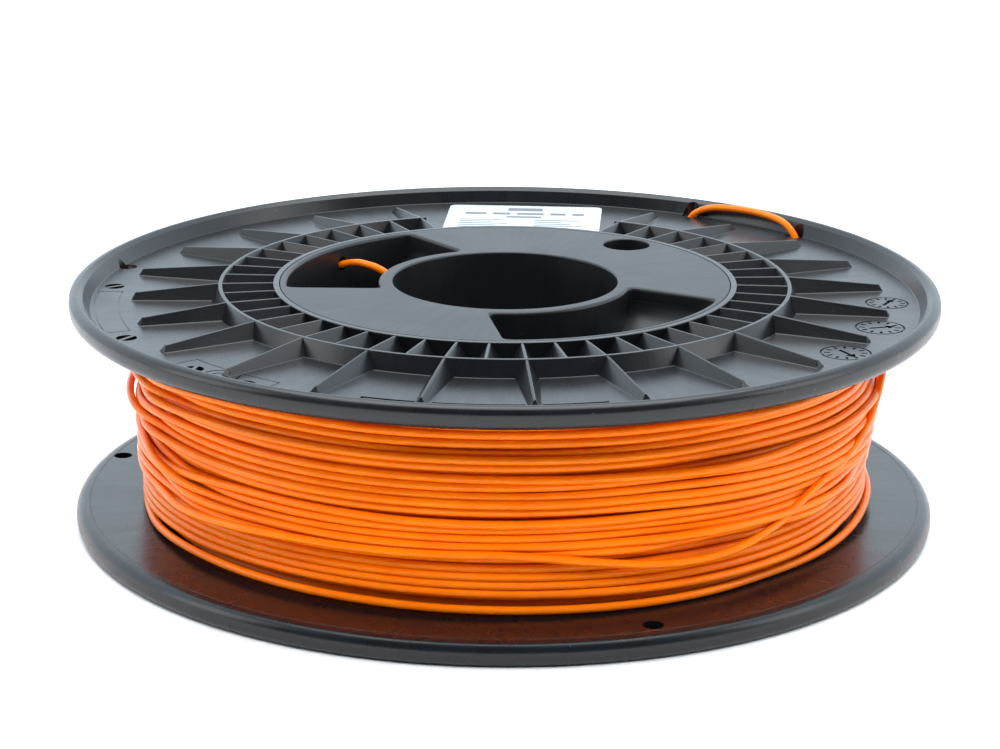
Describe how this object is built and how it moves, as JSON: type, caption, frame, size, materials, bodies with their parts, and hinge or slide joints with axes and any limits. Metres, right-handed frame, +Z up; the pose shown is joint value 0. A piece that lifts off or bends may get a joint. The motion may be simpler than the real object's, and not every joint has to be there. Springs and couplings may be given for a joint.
{
  "type": "filament spool",
  "caption": "Round plastic spool with ribbed flanges, a hollow hub with drive wells and a central bore, wound with orange filament.",
  "frame": {"origin": "on the spool's axis, at the underside of the lower flange", "axes": "+Z up along the spool's axis, +Y towards the label, +X to its right seen from above"},
  "size_m": [0.2, 0.2, 0.056],
  "materials": {
    "black_plastic": "satin moulded plastic",
    "hub_plastic": "satin moulded plastic",
    "drum_plastic": "satin moulded plastic",
    "orange_filament": "smooth extruded plastic, slightly translucent",
    "label_paper": "smooth coated paper"
  },
  "bodies": {
    "root": {"upper_flange": "black_plastic", "lower_flange": "black_plastic", "upper_hub": "hub_plastic", "lower_hub": "hub_plastic", "core_drum": "drum_plastic", "filament_winding": "orange_filament", "filament_outer_end": "orange_filament", "filament_inner_end": "orange_filament", "label": "label_paper"}
  },
  "joints": []
}
